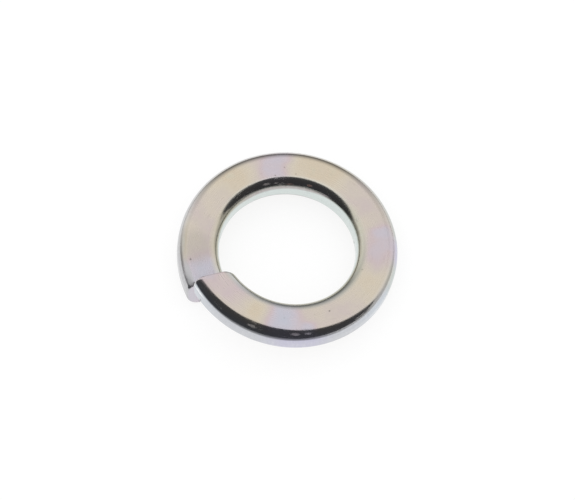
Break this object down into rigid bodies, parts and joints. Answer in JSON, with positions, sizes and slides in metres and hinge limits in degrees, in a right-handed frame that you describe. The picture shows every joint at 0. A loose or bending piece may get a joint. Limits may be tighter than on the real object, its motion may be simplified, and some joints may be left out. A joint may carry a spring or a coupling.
{
  "type": "spring lock washer",
  "caption": "Split spring lock washer of round-edged flat wire, coiled left-handed so its cut ends stand apart; it goes under a bolt head or nut and keeps the joint tight.",
  "frame": {"origin": "on the bore's axis, level with the lowest point of the free washer", "axes": "+Z along the bore, from the low end towards the high end; the split faces -Y"},
  "size_m": [0.0262, 0.0263, 0.0075],
  "materials": {
    "zinc_plated_steel": "bright zinc plating over spring steel, with a faint iridescent passivation film"
  },
  "bodies": {
    "root": {"spring_washer": "zinc_plated_steel"}
  },
  "joints": []
}
